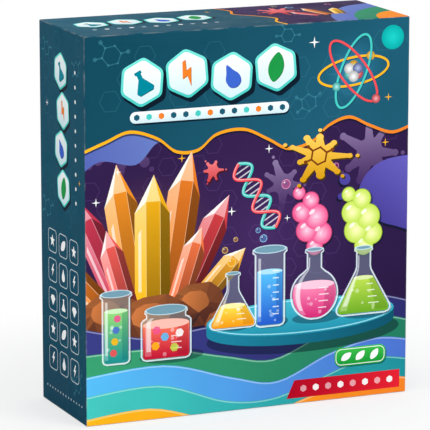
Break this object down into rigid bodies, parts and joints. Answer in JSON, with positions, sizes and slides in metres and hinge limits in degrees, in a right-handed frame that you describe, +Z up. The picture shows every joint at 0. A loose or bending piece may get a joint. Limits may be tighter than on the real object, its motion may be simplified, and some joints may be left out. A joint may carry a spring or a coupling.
{
  "type": "chemistry set case",
  "caption": "Upright printed board case with a deep telescoping lid over a board base, holding a formed tray of children's chemistry pieces: tube rack, beaker, bottle, dropper, goggles and jars",
  "frame": {"origin": "middle of the lower face that the case stands on", "axes": "+Z up, front panel toward -Y, +X to the right seen from the front"},
  "size_m": [0.243, 0.086, 0.27],
  "materials": {
    "printed_board": "printed, gloss coated",
    "plain_board": "matt paper wrap",
    "booklet_paper": "coated",
    "tray_plastic": "satin, vacuum formed",
    "rack_plastic": "satin",
    "clear_plastic": "clear, polished",
    "cap_plastic": "satin",
    "bulb_rubber": "matt",
    "goggles_vinyl": "soft satin",
    "lens_plastic": "clear, polished",
    "strap_elastic": "woven elastic",
    "spoon_plastic": "satin",
    "rod_glass": "polished",
    "funnel_plastic": "satin",
    "stopper_rubber": "matt",
    "jar_plastic": "satin",
    "jar_lid_plastic": "satin"
  },
  "bodies": {
    "base": {"base": "plain_board"},
    "lid": {"lid": "printed_board"},
    "booklet": {"instruction_booklet": "booklet_paper"},
    "tray_and_kit": {"insert_tray": "tray_plastic", "test_tube_rack": "rack_plastic", "test_tube_1": "clear_plastic", "test_tube_2": "clear_plastic", "test_tube_3": "clear_plastic", "test_tube_4": "clear_plastic", "beaker": "clear_plastic", "bottle": "clear_plastic", "dropper_tube": "clear_plastic", "dropper_bulb": "bulb_rubber", "goggles_frame": "goggles_vinyl", "goggles_lens": "lens_plastic", "goggles_strap": "strap_elastic", "measuring_spoon": "spoon_plastic", "stirring_rod": "rod_glass", "funnel": "funnel_plastic", "powder_jar_1": "jar_plastic", "powder_jar_2": "jar_plastic", "powder_jar_3": "jar_plastic", "powder_jar_4": "jar_plastic"},
    "stopper_1": {"tube_stopper_1": "stopper_rubber"},
    "stopper_2": {"tube_stopper_2": "stopper_rubber"},
    "stopper_3": {"tube_stopper_3": "stopper_rubber"},
    "stopper_4": {"tube_stopper_4": "stopper_rubber"},
    "bottle_cap": {"bottle_cap": "cap_plastic"},
    "jar_lid_1": {"jar_lid_1": "jar_lid_plastic"},
    "jar_lid_2": {"jar_lid_2": "jar_lid_plastic"},
    "jar_lid_3": {"jar_lid_3": "jar_lid_plastic"},
    "jar_lid_4": {"jar_lid_4": "jar_lid_plastic"}
  },
  "joints": [
    {"name": "lid_lift", "type": "slide", "parent": "base", "child": "lid", "axis": [0, -1, 0], "range_m": [0, 0.22]},
    {"name": "booklet_lift", "type": "slide", "parent": "base", "child": "booklet", "axis": [0, -1, 0], "range_m": [0, 0.154]},
    {"name": "tray_lift", "type": "slide", "parent": "base", "child": "tray_and_kit", "axis": [0, -1, 0], "range_m": [0, 0.066]},
    {"name": "stopper_1_pull", "type": "slide", "parent": "tray_and_kit", "child": "stopper_1", "axis": [0, 0, 1], "range_m": [0, 0.009]},
    {"name": "stopper_2_pull", "type": "slide", "parent": "tray_and_kit", "child": "stopper_2", "axis": [0, 0, 1], "range_m": [0, 0.009]},
    {"name": "stopper_3_pull", "type": "slide", "parent": "tray_and_kit", "child": "stopper_3", "axis": [0, 0, 1], "range_m": [0, 0.009]},
    {"name": "stopper_4_pull", "type": "slide", "parent": "tray_and_kit", "child": "stopper_4", "axis": [0, 0, 1], "range_m": [0, 0.009]},
    {"name": "bottle_cap_turn", "type": "hinge", "parent": "tray_and_kit", "child": "bottle_cap", "pos_m": [0.0294, -0.0229, 0.17841], "axis": [0, 0, 1], "range_deg": [0, 360]},
    {"name": "jar_lid_1_turn", "type": "hinge", "parent": "tray_and_kit", "child": "jar_lid_1", "pos_m": [-0.09344, -0.0339, 0.04223], "axis": [0, -1, 0], "range_deg": [0, 360]},
    {"name": "jar_lid_2_turn", "type": "hinge", "parent": "tray_and_kit", "child": "jar_lid_2", "pos_m": [-0.05364, -0.0339, 0.04223], "axis": [0, -1, 0], "range_deg": [0, 360]},
    {"name": "jar_lid_3_turn", "type": "hinge", "parent": "tray_and_kit", "child": "jar_lid_3", "pos_m": [-0.01383, -0.0339, 0.04223], "axis": [0, -1, 0], "range_deg": [0, 360]},
    {"name": "jar_lid_4_turn", "type": "hinge", "parent": "tray_and_kit", "child": "jar_lid_4", "pos_m": [0.02598, -0.0339, 0.04223], "axis": [0, -1, 0], "range_deg": [0, 360]}
  ],
  "couplings": [
    {"joint": "booklet_lift", "follows": "lid_lift", "ratio": 0.7},
    {"joint": "tray_lift", "follows": "lid_lift", "ratio": 0.3}
  ]
}
